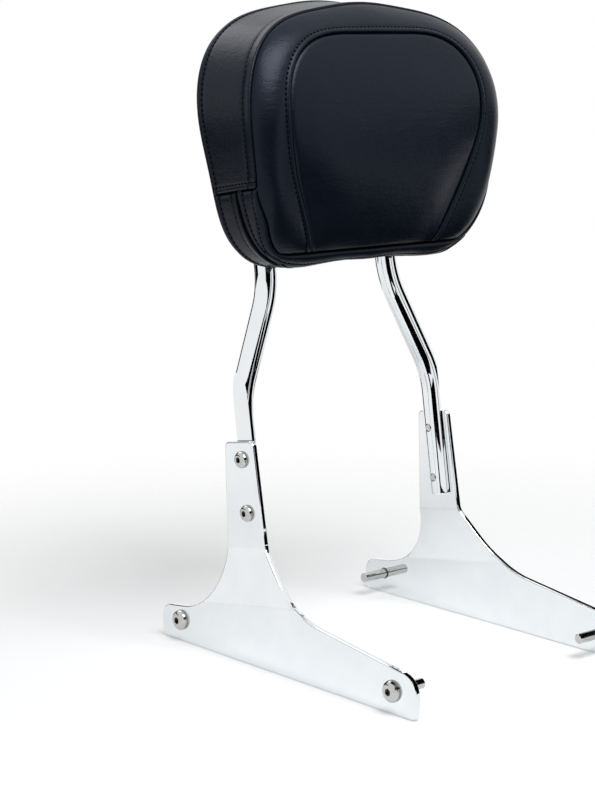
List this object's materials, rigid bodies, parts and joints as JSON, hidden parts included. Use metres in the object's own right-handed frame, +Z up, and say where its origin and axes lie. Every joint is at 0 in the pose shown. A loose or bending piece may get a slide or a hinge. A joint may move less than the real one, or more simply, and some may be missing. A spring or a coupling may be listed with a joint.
{
  "type": "sissy bar",
  "caption": "Motorcycle passenger backrest: a bent chrome hoop bar on two joggled side plates, with a boxed, zipped vinyl pad bolted to cross straps.",
  "frame": {"origin": "midway between the two side plates, on the line of the bolts through their flanges and midway between those bolts front to back", "axes": "+X towards the sitter's left, -Y the way the pad faces, +Z up"},
  "size_m": [0.2796, 0.3145, 0.5372],
  "materials": {
    "chrome": "polished chrome plate on steel",
    "stainless": "polished stainless steel",
    "zinc": "bright zinc plate on steel",
    "plywood": "bare plywood",
    "foam": "open-cell polyurethane foam",
    "vinyl": "satin black grained vinyl",
    "tape": "woven black polyester tape",
    "slider": "black enamel"
  },
  "bodies": {
    "root": {"upright_bar": "chrome", "right_side_plate": "chrome", "left_side_plate": "chrome", "right_upright_bolts": "stainless", "left_upright_bolts": "stainless", "right_flange_bolts": "stainless", "left_flange_bolts": "stainless", "lower_pad_strap": "chrome", "upper_pad_strap": "chrome", "pad_screws": "zinc", "pad_washers": "zinc", "pad_tee_nuts": "zinc", "pad_board": "plywood", "pad_foam": "foam", "cover_insert": "vinyl", "cover_border": "vinyl", "cover_boxing": "vinyl", "cover_front_flap": "vinyl", "cover_rear_flap": "vinyl", "cover_back": "vinyl", "zip_tape": "tape", "zip_slider": "slider"}
  },
  "joints": []
}
